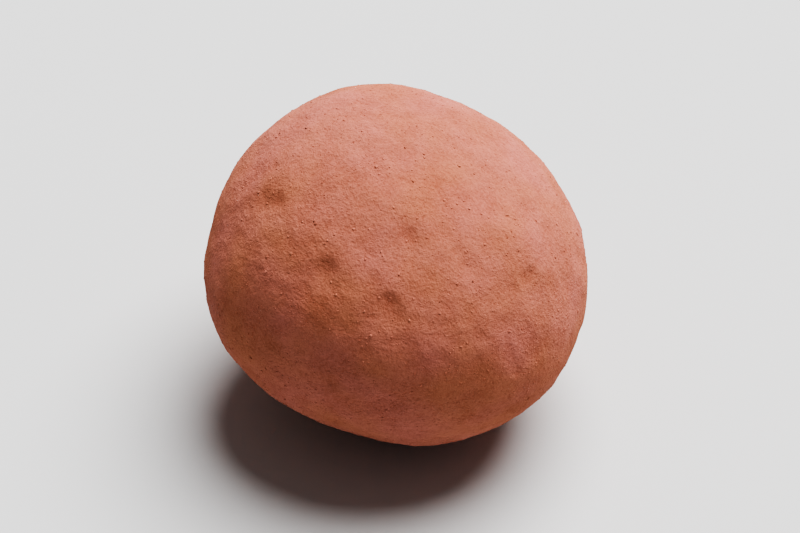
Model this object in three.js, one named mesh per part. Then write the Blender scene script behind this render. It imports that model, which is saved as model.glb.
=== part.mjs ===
// A hazelnut dragee: a roasted hazelnut under a panned coat of chocolate that is dusted all over
// with cocoa. It is one solid piece, an egg a little longer than it is wide, with the soft swells,
// pressed places and dimples that a coat gets as the pieces tumble against each other.
// Millimetres, +Z up. The piece lies on a small flat spot in the plane Z = 0. The origin is in that
// plane, under the middle of the piece, and +X points along the nut to its narrower end.

import * as THREE from "three";
import { mergeVertices } from "three/addons/utils/BufferGeometryUtils.js";

// Driving dimensions.
const HALF_LENGTH = 8.8; // centre to the nut's narrower end
const HALF_WIDTH = 8.5;
const HALF_HEIGHT = 7.8;
const TAPER = 0.02; // share by which the narrower end is slimmer than the middle

// The flat spot that the piece rests on.
const REST_DEPTH = 0.34; // how far the underside is pressed in
const REST_SOFTNESS = 0.1; // half the height over which the flat turns into the round

// Broad swells and pressed places of the coat. Each has a place on the ball, in degrees round Z
// from +X and above the middle, a reach in degrees and a rise, negative where the coat is pressed.
const SWELLS = [
  { name: "tip", azimuth: 12, elevation: -28, reach: 30, rise: 0.33 },
  { name: "cheek", azimuth: -122, elevation: -10, reach: 26, rise: 0.36 },
  { name: "crown", azimuth: -172, elevation: 60, reach: 26, rise: 0.4 },
  { name: "shoulder", azimuth: 159, elevation: 44, reach: 26, rise: 0.18 },
  { name: "pressed front", azimuth: -72, elevation: -44, reach: 28, rise: -0.22 },
  { name: "pressed back", azimuth: 94, elevation: 35, reach: 28, rise: -0.2 },
  { name: "pressed side", azimuth: 142, elevation: 8, reach: 22, rise: -0.06 },
];

// Dimples, where a bubble broke or a neighbour touched. The width is from rim to rim.
const DIMPLES = [
  { azimuth: -75, elevation: 39, width: 2.4, depth: 0.16 },
  { azimuth: -36, elevation: 54, width: 2.1, depth: 0.12 },
  { azimuth: -13, elevation: 46, width: 1.9, depth: 0.11 },
  { azimuth: -46, elevation: 33, width: 1.9, depth: 0.12 },
  { azimuth: 9, elevation: 27, width: 2.1, depth: 0.13 },
  { azimuth: -117, elevation: 44, width: 2.4, depth: 0.14 },
  { azimuth: 76, elevation: -8, width: 2.2, depth: 0.15 },
  { azimuth: 118, elevation: 40, width: 1.9, depth: 0.13 },
  { azimuth: 171, elevation: 20, width: 2.4, depth: 0.14 },
  { azimuth: -158, elevation: -31, width: 2.0, depth: 0.13 },
];

// The coat's unevenness: sets of soft waves, each with the length from crest to crest, the usual
// height and the number of waves that cross.
const WAVES = [
  { length: 6.5, height: 0.05, count: 12 },
  { length: 3.2, height: 0.02, count: 18 },
];
const WAVE_SEED = 7;

// The mesh starts from a 20-sided ball, each side cut into (SIDE_CUTS + 1)^2 triangles.
const SIDE_CUTS = 21;
const SAME_POINT = 1e-5; // points of the unit ball nearer than this are one

// A repeatable row of numbers from 0 to 1, by Park and Miller's rule.
function seededNumbers(seed) {
  const multiplier = 16807;
  const modulus = 2147483647;
  let state = seed;
  return () => {
    state = (state * multiplier) % modulus;
    return state / modulus;
  };
}

// The unit vector at an azimuth round Z and an elevation above the middle, both in degrees.
function bearing({ azimuth, elevation }) {
  const round = THREE.MathUtils.degToRad(azimuth);
  const above = THREE.MathUtils.degToRad(elevation);
  const level = Math.cos(above);
  return new THREE.Vector3(level * Math.cos(round), level * Math.sin(round), Math.sin(above));
}

// The plain egg's surface in the direction of a unit vector.
function eggPoint(outward) {
  const slimming = 1 - TAPER * outward.x;
  return new THREE.Vector3(
    HALF_LENGTH * outward.x,
    HALF_WIDTH * slimming * outward.y,
    HALF_HEIGHT * slimming * outward.z,
  );
}

// Swells rise or sink as bells.
function swellRise(outward) {
  const rises = SWELLS.map((swell) => {
    const away = THREE.MathUtils.radToDeg(outward.angleTo(bearing(swell)));
    return swell.rise * Math.exp(-((away / swell.reach) ** 2));
  });
  return rises.reduce((sum, rise) => sum + rise);
}

// Dimples are shallow bowls with a soft rim.
function dimpleRise(outward) {
  const place = eggPoint(outward);
  const rises = DIMPLES.map((dimple) => {
    const away = place.distanceTo(eggPoint(bearing(dimple)));
    const share = Math.min(away / (dimple.width / 2), 1);
    return -dimple.depth * (1 - share ** 2) ** 2;
  });
  return rises.reduce((sum, rise) => sum + rise);
}

// Waves run through the ball in random directions, so where they cross are uneven soft lumps.
function makeWaves() {
  const draw = seededNumbers(WAVE_SEED);
  const makeWave = (length, height) => {
    const way = { azimuth: 360 * draw(), elevation: THREE.MathUtils.radToDeg(Math.asin(2 * draw() - 1)) };
    const start = 2 * Math.PI * draw();
    return { run: bearing(way).multiplyScalar((2 * Math.PI) / length), start, height };
  };
  return WAVES.flatMap(({ length, height, count }) =>
    Array.from({ length: count }, () => makeWave(length, height * Math.sqrt(2 / count))),
  );
}

function waveRise(outward, waves) {
  const place = eggPoint(outward);
  return waves.reduce((sum, { run, start, height }) => sum + height * Math.cos(run.dot(place) + start), 0);
}

// Presses the underside flat: what is below the flat comes up to 0, with a soft turn at its edge.
function pressedHeight(height) {
  if (height >= REST_SOFTNESS) return height;
  if (height <= -REST_SOFTNESS) return 0;
  return (height + REST_SOFTNESS) ** 2 / (4 * REST_SOFTNESS);
}

function makeBody() {
  const ball = new THREE.IcosahedronGeometry(1, SIDE_CUTS);
  ball.deleteAttribute("normal");
  ball.deleteAttribute("uv");
  const body = mergeVertices(ball, SAME_POINT);
  const points = body.getAttribute("position");
  const waves = makeWaves();

  for (let i = 0; i < points.count; i += 1) {
    const outward = new THREE.Vector3().fromBufferAttribute(points, i).normalize();
    const rise = swellRise(outward) + dimpleRise(outward) + waveRise(outward, waves);
    const place = eggPoint(outward).addScaledVector(outward, rise);
    points.setXYZ(i, place.x, place.y, place.z);
  }

  body.computeBoundingBox();
  const middle = body.boundingBox.getCenter(new THREE.Vector3());
  body.translate(-middle.x, -middle.y, -(body.boundingBox.min.z + REST_DEPTH));
  for (let i = 0; i < points.count; i += 1) points.setZ(i, pressedHeight(points.getZ(i)));
  body.computeVertexNormals();
  return body;
}

const cocoaDust = new THREE.MeshStandardMaterial({ color: 0xc98268, roughness: 0.95, metalness: 0 });

const dragee = new THREE.Mesh(makeBody(), cocoaDust);
dragee.name = "dragee";

const part = new THREE.Group();
part.add(dragee);

export default part;
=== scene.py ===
"""A hazelnut dragee: a roasted hazelnut in panned chocolate, dusted all over with cocoa.

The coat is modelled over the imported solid, and loose cocoa lies on it. The piece rests on a plain
pale floor under soft studio light. Lengths are in metres, and small ones are written with MM.
"""

import math

import bpy
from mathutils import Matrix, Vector


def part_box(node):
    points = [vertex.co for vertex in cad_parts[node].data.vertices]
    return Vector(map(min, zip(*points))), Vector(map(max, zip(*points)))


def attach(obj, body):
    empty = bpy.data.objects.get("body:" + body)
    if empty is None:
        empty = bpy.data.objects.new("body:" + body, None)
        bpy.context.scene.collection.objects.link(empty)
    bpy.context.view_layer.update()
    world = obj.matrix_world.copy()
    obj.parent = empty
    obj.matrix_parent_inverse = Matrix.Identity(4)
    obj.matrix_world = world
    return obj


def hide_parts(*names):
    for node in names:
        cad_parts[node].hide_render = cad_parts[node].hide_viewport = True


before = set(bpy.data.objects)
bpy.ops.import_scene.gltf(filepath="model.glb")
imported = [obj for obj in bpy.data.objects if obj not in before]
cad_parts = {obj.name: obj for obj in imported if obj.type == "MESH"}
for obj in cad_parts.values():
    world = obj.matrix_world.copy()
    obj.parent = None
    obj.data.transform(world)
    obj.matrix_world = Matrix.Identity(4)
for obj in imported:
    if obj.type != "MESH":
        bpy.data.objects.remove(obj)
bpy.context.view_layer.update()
MM = 0.001


# The coat: chocolate panned on the nut in thin layers, so its skin is softly dimpled like orange
# peel, and then rolled in cocoa, which gathers in clumps and leaves small pits bare. It follows the
# solid: an even ball of squares is drawn in onto it, smoothed, and raised by the relief.
# Its colour is darker in the low places and lighter on the high ones, partly as painted shade.
BALL_CUTS = 128  # squares along each edge of the cube that the ball comes from
FACET_SMOOTHING = 16  # rounds of averaging, which reach about 0.4 mm
REST_CLEAR_LOW, REST_CLEAR_HIGH = 0.02 * MM, 0.5 * MM  # the relief fades in above the flat spot

PEEL_LENGTH, PEEL_HEIGHT = 2.0 * MM, 0.10 * MM
CLUMP_LENGTH, CLUMP_HEIGHT = 0.8 * MM, 0.05 * MM

GRANULE_SPACING, GRANULE_HEIGHT = 0.36 * MM, 0.035 * MM
GRANULE_MERGING = 0.35  # how far granules run together
GRANULE_EDGE = 0.45  # of the spacing, where a granule's side meets the coat
PATCH_LENGTH = 3.2 * MM  # granules lie in patches of this size
PATCH_FADE = 0.24  # of the noise, to either side of a patch's edge
SPARSE_HEIGHT = 0.25  # of a granule's height is left between the patches

PIT_SPACING, PIT_WIDTH, PIT_DEPTH = 2.2 * MM, 0.9 * MM, 0.06 * MM
SMALLEST_PIT = 0.4  # of the full width and depth
PITTED_SHARE = 0.4  # of the places where a pit could be

# Dents that were left while the coat was soft: degrees round Z from +X, degrees above the middle,
# width and depth.
DENTS = (
    (-75, 39, 1.6 * MM, 0.10 * MM),
    (-36, 54, 1.3 * MM, 0.07 * MM),
    (-13, 46, 1.2 * MM, 0.06 * MM),
    (-46, 33, 1.2 * MM, 0.07 * MM),
    (9, 27, 1.3 * MM, 0.06 * MM),
    (-117, 44, 1.5 * MM, 0.07 * MM),
)

PINK_DUST = (0.551, 0.206, 0.156, 1.0)  # thick cocoa dust, pinkish where it is driest
TAN_DUST = (0.521, 0.201, 0.123, 1.0)
THIN_DUST = (0.347, 0.103, 0.061, 1.0)  # where the chocolate shows through
DRY_LENGTH, DRY_CONTRAST, DRY_SHARE = 3.4 * MM, 1.5, 0.5  # of the pink among the tan

# The dust's usual thickness, from 0, thin, to 1, thick, and what changes it: each with the length
# of its lumps and its share, and the two finest also with the height of their bumps.
USUAL_THICKNESS = 0.78
BROAD_LENGTH, BROAD_SHARE = 5.0 * MM, 0.125
MOTTLE_LENGTH, MOTTLE_SHARE = 1.1 * MM, 0.325
GRIT_LENGTH, GRIT_SHARE, GRIT_HEIGHT = 0.15 * MM, 0.55, 0.03 * MM
GRIT_HARSHNESS = 0.6  # how strongly its finest lumps show
POWDER_LENGTH, POWDER_SHARE, POWDER_HEIGHT = 0.055 * MM, 0.45, 0.009 * MM
RELIEF_DUST_AND_SHADE = 2.2 / MM  # lighter high, darker low: thicker dust, and painted shade in hollows

DUST_FINISH = {"Roughness": 0.95, "Diffuse Roughness": 0.5, "Specular IOR Level": 0.05}


class Wire:
    """A node's socket. Operators on it add Math nodes to its tree and give the result's socket."""

    def __init__(self, socket):
        self.socket = socket

    def maths(self, operation, first, second):
        settings = {"operation": operation}
        return Tree(self.socket.id_data).add("ShaderNodeMath", settings, {0: first, 1: second})

    def __add__(self, other):
        return self.maths("ADD", self, other)

    def __radd__(self, other):
        return self.maths("ADD", other, self)

    def __sub__(self, other):
        return self.maths("SUBTRACT", self, other)

    def __rsub__(self, other):
        return self.maths("SUBTRACT", other, self)

    def __mul__(self, other):
        return self.maths("MULTIPLY", self, other)

    def __rmul__(self, other):
        return self.maths("MULTIPLY", other, self)

    def __truediv__(self, other):
        return self.maths("DIVIDE", self, other)

    def __rtruediv__(self, other):
        return self.maths("DIVIDE", other, self)

    def __pow__(self, other):
        return self.maths("POWER", self, other)

    def __rpow__(self, other):
        return self.maths("POWER", other, self)

    def at_least(self, other):
        return self.maths("MAXIMUM", self, other)

    def at_most(self, other):
        return self.maths("MINIMUM", self, other)

    def above(self, other):
        return self.maths("GREATER_THAN", self, other)

    def beside(self, name):
        """Another output of the same node."""
        return Wire(self.socket.node.outputs[name])


class Tree:
    """A node tree that is being built."""

    def __init__(self, node_tree):
        self.node_tree = node_tree

    def add(self, kind, settings=None, inputs=None, output=0):
        """Adds a node: its settings first, then its sockets' values or wires. Gives an output."""
        node = self.node_tree.nodes.new(kind)
        for name, value in (settings or {}).items():
            setattr(node, name, value)
        for name, value in (inputs or {}).items():
            self.feed(self.pick(node.inputs, name), value)
        if node.outputs:
            return Wire(self.pick(node.outputs, output))

    def feed(self, socket, value):
        """Gives a socket a value or a wire, or a list of wires where it takes many."""
        if isinstance(value, Wire):
            self.node_tree.links.new(value.socket, socket)
        elif isinstance(value, list):
            for wire in value:
                self.feed(socket, wire)
        else:
            socket.default_value = value

    @staticmethod
    def pick(sockets, name):
        """A socket by its number, or by its name among those in use."""
        if isinstance(name, int):
            return sockets[name]
        return next(socket for socket in sockets if socket.enabled and socket.name == name)

    def vector(self, operation, *vectors, output="Vector"):
        settings = {"operation": operation}
        return self.add("ShaderNodeVectorMath", settings, dict(enumerate(vectors)), output)

    def scaled(self, vector, factor):
        inputs = {"Vector": vector, "Scale": factor}
        return self.add("ShaderNodeVectorMath", {"operation": "SCALE"}, inputs, "Vector")

    def coordinate(self, place, axis):
        return self.add("ShaderNodeSeparateXYZ", None, {"Vector": place}, axis)

    def noise(self, place, length, detail=2.0, roughness=0.5):
        """Soft noise with lumps of the given length, mostly from -0.5 to 0.5."""
        inputs = {"Vector": place, "Scale": 1 / length, "Detail": detail, "Roughness": roughness}
        return (self.add("ShaderNodeTexNoise", None, inputs, "Fac") - 0.5) * 2

    def ramp(self, value, low, high):
        """0 below low, 1 above high and a smooth rise between them."""
        settings = {"interpolation_type": "SMOOTHSTEP"}
        inputs = {"Value": value, "From Min": low, "From Max": high}
        return self.add("ShaderNodeMapRange", settings, inputs)

    def blend(self, factor, first, second):
        """A colour that is the first at 0 and the second at 1."""
        settings = {"data_type": "RGBA", "clamp_factor": True}
        inputs = {"Factor": factor, "A": first, "B": second}
        return self.add("ShaderNodeMix", settings, inputs, "Result")


def new_shape_tree(name, **inputs):
    """A Geometry Nodes tree and the wires of its named inputs, each given as its kind of socket."""
    shape = bpy.data.node_groups.new(name, "GeometryNodeTree")
    shape.interface.new_socket("Geometry", in_out="OUTPUT", socket_type="NodeSocketGeometry")
    for label, kind in inputs.items():
        shape.interface.new_socket(label, in_out="INPUT", socket_type="NodeSocket" + kind)
    tree = Tree(shape)
    given = tree.add("NodeGroupInput")
    return tree, {label: given.beside(label) for label in inputs}


def end_shape_tree(tree, geometry, material):
    """Ends the tree in Realize Instances and Set Material."""
    real = tree.add("GeometryNodeRealizeInstances", None, {"Geometry": geometry})
    dressed = tree.add("GeometryNodeSetMaterial", None, {"Geometry": real, "Material": material})
    tree.add("NodeGroupOutput", None, {"Geometry": dressed})


def grow(name, tree, **values):
    """Runs a Geometry Nodes tree and returns what it makes as a plain mesh object."""
    maker = bpy.data.objects.new(name + "_maker", bpy.data.meshes.new(name + "_maker"))
    bpy.context.scene.collection.objects.link(maker)
    modifier = maker.modifiers.new("shape", "NODES")
    modifier.node_group = tree.node_tree
    for item in tree.node_tree.interface.items_tree:
        if item.in_out == "INPUT":
            modifier[item.identifier] = values[item.name]
    graph = bpy.context.evaluated_depsgraph_get()
    mesh = bpy.data.meshes.new_from_object(maker.evaluated_get(graph))
    bpy.data.objects.remove(maker)
    mesh.name = name
    piece = bpy.data.objects.new(name, mesh)
    bpy.context.scene.collection.objects.link(piece)
    return piece


lowest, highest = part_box("dragee")
middle = (lowest + highest) / 2
RADIUS = (highest - lowest).x / 2
RAY_LENGTH = 3 * RADIUS  # from well outside the solid to its middle


def bearing(azimuth, elevation):
    """The unit vector at an azimuth round Z from +X and an elevation, in degrees."""
    round_z, above = math.radians(azimuth), math.radians(elevation)
    level = math.cos(above)
    return Vector((level * math.cos(round_z), level * math.sin(round_z), math.sin(above)))


def add_even_ball(tree):
    """A cube whose faces are bent so that their squares come out alike, and its outward ways."""
    edge = BALL_CUTS + 1
    counts = {"Vertices X": edge, "Vertices Y": edge, "Vertices Z": edge}
    cube = tree.add("GeometryNodeMeshCube", None, {"Size": (2, 2, 2), **counts})
    corner = tree.add("GeometryNodeInputPosition")
    bent = tree.vector("TANGENT", tree.scaled(corner, math.pi / 4))
    return cube, tree.vector("NORMALIZE", bent)


def draw_onto_solid(tree, ball, outward, solid_object):
    """Moves the ball's points in onto the solid and rounds off the solid's facets."""
    settings = {"transform_space": "ORIGINAL"}
    solid = tree.add("GeometryNodeObjectInfo", settings, {"Object": solid_object}, "Geometry")
    rays = {
        "Target Geometry": solid,
        "Source Position": tree.vector("ADD", tree.scaled(outward, RAY_LENGTH), tuple(middle)),
        "Ray Direction": tree.scaled(outward, -1),
        "Ray Length": RAY_LENGTH,
    }
    touch = tree.add("GeometryNodeRaycast", None, rays, "Hit Position")
    on_solid = tree.add("GeometryNodeSetPosition", None, {"Geometry": ball, "Position": touch})
    inputs = {"Value": tree.add("GeometryNodeInputPosition"), "Iterations": FACET_SMOOTHING}
    averaged = tree.add("GeometryNodeBlurAttribute", {"data_type": "FLOAT_VECTOR"}, inputs)
    return tree.add("GeometryNodeSetPosition", None, {"Geometry": on_solid, "Position": averaged})


def granule_rise(tree, place):
    """Round granules side by side, at full height in patches and low between them."""
    inputs = {"Vector": place, "Scale": 1 / GRANULE_SPACING, "Smoothness": GRANULE_MERGING}
    away = tree.add("ShaderNodeTexVoronoi", {"feature": "SMOOTH_F1"}, inputs, "Distance")
    patches = tree.ramp(tree.noise(place, PATCH_LENGTH), -PATCH_FADE, PATCH_FADE)
    return (GRANULE_EDGE - away) * (patches * (1 - SPARSE_HEIGHT) + SPARSE_HEIGHT)


def pit_fall(tree, place):
    """Small round pits of unlike sizes, in a share of the cells."""
    cells = {"Vector": place, "Scale": 1 / PIT_SPACING}
    away = tree.add("ShaderNodeTexVoronoi", None, cells, "Distance")
    draw = tree.add("ShaderNodeTexVoronoi", None, cells, "Color")
    size = tree.coordinate(draw, "Y") * (1 - SMALLEST_PIT) + SMALLEST_PIT
    bowl = (1 - (away / (size * (PIT_WIDTH / 2 / PIT_SPACING))) ** 2).at_least(0)
    return bowl * size * (1 - tree.coordinate(draw, "X").above(PITTED_SHARE))


def dent_fall(tree, place):
    """Shallow bowls with a soft rim."""
    direction = tree.vector("NORMALIZE", tree.vector("SUBTRACT", place, tuple(middle)))
    fall = 0.0
    for azimuth, elevation, width, depth in DENTS:
        centre = tuple(bearing(azimuth, elevation))
        away = tree.vector("DISTANCE", direction, centre, output="Value")
        share = (away * (2 * RADIUS / width)).at_most(1)
        fall = (1 - share**2) ** 2 * depth + fall
    return fall


def build_coat_tree():
    """The relief is stored before it raises the coat, because the dust's colour follows it too."""
    tree, given = new_shape_tree(
        "coat_shape",
        Solid="Object",
        PeelHeight="Float",
        ClumpHeight="Float",
        GranuleHeight="Float",
        PitDepth="Float",
        Finish="Material",
    )
    ball, outward = add_even_ball(tree)
    base = draw_onto_solid(tree, ball, outward, given["Solid"])
    place = tree.add("GeometryNodeInputPosition")
    peel = tree.noise(place, PEEL_LENGTH, detail=1.0) * given["PeelHeight"]
    clumps = tree.noise(place, CLUMP_LENGTH, detail=1.0) * given["ClumpHeight"]
    granules = granule_rise(tree, place) * given["GranuleHeight"]
    pits = pit_fall(tree, place) * given["PitDepth"]
    free = tree.ramp(tree.coordinate(place, "Z"), REST_CLEAR_LOW, REST_CLEAR_HIGH)
    relief = (peel + clumps + granules - pits - dent_fall(tree, place)) * free

    settings = {"data_type": "FLOAT", "domain": "POINT"}
    inputs = {"Geometry": base, "Name": "relief", "Value": relief}
    marked = tree.add("GeometryNodeStoreNamedAttribute", settings, inputs)
    kept = tree.add("GeometryNodeInputNamedAttribute", {"data_type": "FLOAT"}, {"Name": "relief"})
    offset = tree.scaled(tree.add("GeometryNodeInputNormal", output="Normal"), kept)
    raised = tree.add("GeometryNodeSetPosition", None, {"Geometry": marked, "Offset": offset})
    inputs = {"Geometry": raised, "Shade Smooth": True}
    end_shape_tree(tree, tree.add("GeometryNodeSetShadeSmooth", None, inputs), given["Finish"])
    return tree


def make_dust_material(name, attribute, attribute_share):
    """Matt cocoa. The attribute lightens it as thicker dust; the coat's relief also paints shade in
    low places.
    """
    material = bpy.data.materials.new(name)
    material.use_nodes = True
    shader = material.node_tree.nodes["Principled BSDF"]
    tree = Tree(material.node_tree)
    place = tree.add("ShaderNodeTexCoord", output="Object")
    stored = tree.add("ShaderNodeAttribute", {"attribute_name": attribute}, output="Fac")
    broad = tree.noise(place, BROAD_LENGTH)
    mottle = tree.noise(place, MOTTLE_LENGTH)
    grit = tree.noise(place, GRIT_LENGTH, roughness=GRIT_HARSHNESS)
    powder = tree.noise(place, POWDER_LENGTH, detail=1.0)

    # The relief's share darkens the coat's low places and lightens its high ones: partly thinner
    # and thicker dust, partly painted shade.
    dust_and_shade = USUAL_THICKNESS + broad * BROAD_SHARE + mottle * MOTTLE_SHARE
    dust_and_shade = dust_and_shade + grit * GRIT_SHARE + powder * POWDER_SHARE + stored * attribute_share
    dryness = tree.noise(place, DRY_LENGTH) * DRY_CONTRAST + DRY_SHARE
    colour = tree.blend(dust_and_shade, THIN_DUST, tree.blend(dryness, TAN_DUST, PINK_DUST))
    height = grit * GRIT_HEIGHT + powder * POWDER_HEIGHT
    bump = tree.add("ShaderNodeBump", None, {"Strength": 1.0, "Distance": 1.0, "Height": height})
    finish = {"Base Color": colour, "Normal": bump, **DUST_FINISH}
    for label, value in finish.items():
        tree.feed(shader.inputs[label], value)
    return material


coat = grow(
    "cocoa_coat",
    build_coat_tree(),
    Solid=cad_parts["dragee"],
    PeelHeight=PEEL_HEIGHT,
    ClumpHeight=CLUMP_HEIGHT,
    GranuleHeight=GRANULE_HEIGHT,
    PitDepth=PIT_DEPTH,
    Finish=make_dust_material("cocoa_dust", "relief", RELIEF_DUST_AND_SHADE),
)
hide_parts("dragee")
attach(coat, "root")


# The loose cocoa: fine specks all over, and fewer, larger grains that caught on the coat as it
# tumbled. A few unlike shapes of each kind are scattered over the coat, half sunk in it, small ones
# far the most, and thicker in drifts.
SHAPES = 6  # unlike shapes of each kind
LUMP_PUSH, LUMP_FINENESS = 2.2, 0.9  # how far a ball of radius 1 is pushed, and how finely
NEXT_SHAPE = 7.0  # the step through the noise from one shape to the next

SPECK_COUNT, GRAIN_COUNT = 23000, 3400
SPECK_SMALLEST, SPECK_LARGEST = 0.018 * MM, 0.042 * MM  # from the middle to the surface
GRAIN_SMALLEST, GRAIN_LARGEST = 0.03 * MM, 0.08 * MM
SIZE_POWER = 4  # the higher it is, the fewer large ones there are
NARROWEST, WIDEST, FLATNESS = 0.75, 1.3, 0.45  # width, length and height against the size
SPECK_SEED, GRAIN_SEED = 11, 41

DRIFT_LENGTH = 2.4 * MM
DRIFT_START, DRIFT_FULL = -0.2, 0.32  # of the noise
DRIFT_THIN, DRIFT_THICK = 0.5, 1.7  # loose cocoa between drifts and in them, against the usual
LOOSE_FLOOR = 1.2 * MM  # nothing loose lies lower than this

# Each loose piece has one shade between the first two, and the third is its share in how thick the
# dust seems.
DARKEST, LIGHTEST, SHADE_SHARE = -0.5, 1.0, 0.45


def add_lump(tree, kind, sizes, number):
    """A plain ball of few faces, pushed out of round, as an instance."""
    ball = tree.add(kind, None, sizes, "Mesh")
    step = (NEXT_SHAPE * number, 0.0, 0.0)
    spot = tree.vector("ADD", tree.add("GeometryNodeInputPosition"), step)
    inputs = {"Vector": spot, "Scale": LUMP_FINENESS}
    pushes = tree.add("ShaderNodeTexNoise", None, inputs, "Color")
    push = tree.scaled(tree.vector("SUBTRACT", pushes, (0.5, 0.5, 0.5)), LUMP_PUSH)
    lump = tree.add("GeometryNodeSetPosition", None, {"Geometry": ball, "Offset": push})
    inputs = {"Geometry": lump, "Shade Smooth": True}
    smooth = tree.add("GeometryNodeSetShadeSmooth", None, inputs)
    return tree.add("GeometryNodeGeometryToInstance", None, {"Geometry": smooth})


def draw_number(tree, seed, low=0.0, high=1.0):
    """A random number for each point or copy."""
    inputs = {"Min": low, "Max": high, "Seed": seed}
    return tree.add("FunctionNodeRandomValue", {"data_type": "FLOAT"}, inputs, "Value")


def scatter_points(tree, given, seed):
    """Points on the coat, closer together in drifts."""
    settings = {"transform_space": "ORIGINAL"}
    coat_mesh = tree.add("GeometryNodeObjectInfo", settings, {"Object": given["Coat"]}, "Geometry")
    place = tree.add("GeometryNodeInputPosition")
    drift = tree.ramp(tree.noise(place, DRIFT_LENGTH), DRIFT_START, DRIFT_FULL)
    closeness = drift * (DRIFT_THICK - DRIFT_THIN) + DRIFT_THIN
    area = 4 * math.pi * RADIUS**2
    clear = tree.coordinate(place, "Z").above(LOOSE_FLOOR)
    density = closeness * clear * given["Count"] * (1 / area)
    inputs = {"Mesh": coat_mesh, "Density": density, "Seed": seed}
    return tree.add("GeometryNodeDistributePointsOnFaces", None, inputs, "Points")


def build_scatter_tree(name, kind, sizes, seed):
    """One kind of loose cocoa. Each draw has a seed of its own, counted on from the kind's."""
    tree, given = new_shape_tree(
        name, Coat="Object", Count="Float", Smallest="Float", Largest="Float", Finish="Material"
    )
    lumps = [add_lump(tree, kind, sizes, number) for number in range(SHAPES)]
    points = scatter_points(tree, given, seed)

    spread = given["Largest"] - given["Smallest"]
    size = draw_number(tree, seed + 1) ** SIZE_POWER * spread + given["Smallest"]
    width = size * draw_number(tree, seed + 2, NARROWEST, WIDEST)
    length = size * draw_number(tree, seed + 3, NARROWEST, WIDEST)
    inputs = {"X": width, "Y": length, "Z": size * FLATNESS}
    stretch = tree.add("ShaderNodeCombineXYZ", None, inputs)
    inputs = {"Min": 0, "Max": SHAPES - 1, "Seed": seed + 4}
    pick = tree.add("FunctionNodeRandomValue", {"data_type": "INT"}, inputs, "Value")
    copies = {
        "Points": points,
        "Instance": tree.add("GeometryNodeJoinGeometry", None, {"Geometry": lumps}),
        "Pick Instance": True,
        "Instance Index": pick,
        "Rotation": points.beside("Rotation"),
        "Scale": stretch,
    }
    scattered = tree.add("GeometryNodeInstanceOnPoints", None, copies)

    settings = {"data_type": "FLOAT", "domain": "INSTANCE"}
    shade = draw_number(tree, seed + 5, DARKEST, LIGHTEST)
    inputs = {"Geometry": scattered, "Name": "shade", "Value": shade}
    shaded = tree.add("GeometryNodeStoreNamedAttribute", settings, inputs)
    end_shape_tree(tree, shaded, given["Finish"])
    return tree


loose_cocoa = make_dust_material("loose_cocoa", "shade", SHADE_SHARE)
SPECK = ("GeometryNodeMeshUVSphere", {"Segments": 4, "Rings": 2, "Radius": 1.0})  # 8 faces
GRAIN = ("GeometryNodeMeshIcoSphere", {"Radius": 1.0, "Subdivisions": 1})  # 20 faces
specks = grow(
    "cocoa_specks",
    build_scatter_tree("speck_scatter", *SPECK, SPECK_SEED),
    Coat=coat,
    Count=SPECK_COUNT,
    Smallest=SPECK_SMALLEST,
    Largest=SPECK_LARGEST,
    Finish=loose_cocoa,
)
grains = grow(
    "cocoa_grains",
    build_scatter_tree("grain_scatter", *GRAIN, GRAIN_SEED),
    Coat=coat,
    Count=GRAIN_COUNT,
    Smallest=GRAIN_SMALLEST,
    Largest=GRAIN_LARGEST,
    Finish=loose_cocoa,
)
for loose in (specks, grains):
    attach(loose, "root")


# The floor, the light and the camera. The light is soft and comes from high up at the back right,
# and the camera looks down at the photograph's angle.
FLOOR_SIZE = 3.0
FLOOR_FINISH = {"Base Color": (0.6, 0.6, 0.6, 1.0), "Roughness": 0.9, "Specular IOR Level": 0.1}

CAMERA_AZIMUTH, CAMERA_ELEVATION = -42, 44.5  # measured as the dents' places are
LENS, SENSOR = 400, 36  # millimetres: a long lens, as the photograph's, and the sensor's width
PICTURE_SHAPE = 533 / 800  # height over width
VIEW_HEIGHT = 24.5 * MM  # what the picture takes in at the dragee
NEAREST_SEEN, FARTHEST_SEEN = 0.01, 20  # against the camera's distance

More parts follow.
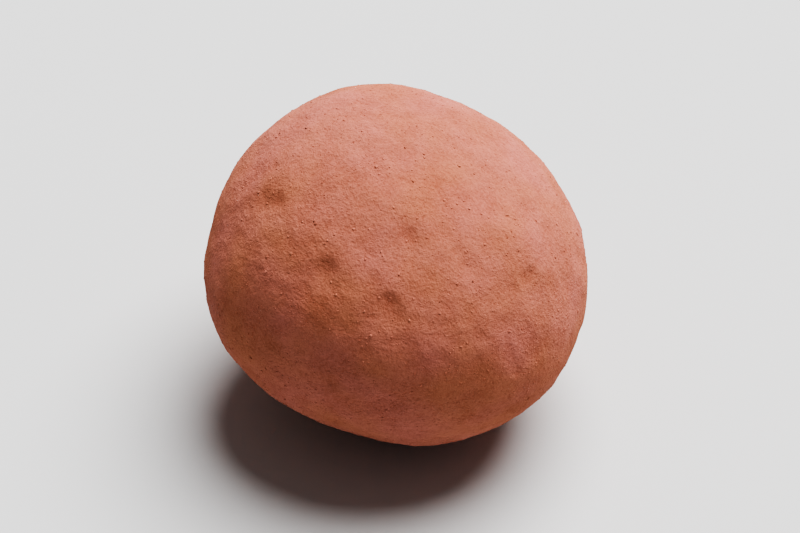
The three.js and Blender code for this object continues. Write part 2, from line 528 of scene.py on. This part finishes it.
KEY_WAY = Vector((-0.05, 0.42, 0.90)).normalized()  # from the dragee to the light
KEY_DISTANCE, KEY_SIZE, KEY_POWER = 0.6, 0.55, 7.4  # metres, metres and watts
WORLD_STRENGTH = 0.12
FILM_EXPOSURE = 0.15


def make_floor():
    mesh = bpy.data.meshes.new("floor")
    half = FLOOR_SIZE / 2
    corners = [(-half, -half, 0), (half, -half, 0), (half, half, 0), (-half, half, 0)]
    mesh.from_pydata(corners, [], [(0, 1, 2, 3)])
    floor = bpy.data.objects.new("floor", mesh)
    bpy.context.scene.collection.objects.link(floor)
    paint = bpy.data.materials.new("pale_floor")
    paint.use_nodes = True
    shader = paint.node_tree.nodes["Principled BSDF"]
    for label, value in FLOOR_FINISH.items():
        shader.inputs[label].default_value = value
    mesh.materials.append(paint)


def aim(thing, place, target):
    thing.location = place
    thing.rotation_euler = (target - place).to_track_quat("-Z", "Y").to_euler()


def make_camera():
    data = bpy.data.cameras.new("camera")
    data.lens, data.sensor_width = LENS, SENSOR
    camera = bpy.data.objects.new("camera", data)
    bpy.context.scene.collection.objects.link(camera)
    distance = VIEW_HEIGHT / (SENSOR * PICTURE_SHAPE / LENS)
    aim(camera, middle + bearing(CAMERA_AZIMUTH, CAMERA_ELEVATION) * distance, middle)
    data.clip_start, data.clip_end = distance * NEAREST_SEEN, distance * FARTHEST_SEEN
    bpy.context.scene.camera = camera


def make_key_light():
    data = bpy.data.lights.new("key", "AREA")
    data.shape = "DISK"
    data.size, data.energy = KEY_SIZE, KEY_POWER
    light = bpy.data.objects.new("key", data)
    bpy.context.scene.collection.objects.link(light)
    aim(light, middle + KEY_WAY * KEY_DISTANCE, middle)


def make_world():
    world = bpy.data.worlds.new("studio")
    world.use_nodes = True
    background = world.node_tree.nodes["Background"]
    background.inputs["Color"].default_value = (1, 1, 1, 1)
    background.inputs["Strength"].default_value = WORLD_STRENGTH
    bpy.context.scene.world = world


make_floor()
make_camera()
make_key_light()
make_world()
film = bpy.context.scene.view_settings  # a camera's soft highlights and deep, rich shadows
film.view_transform = "AgX"
film.look = "AgX - High Contrast"
film.exposure = FILM_EXPOSURE
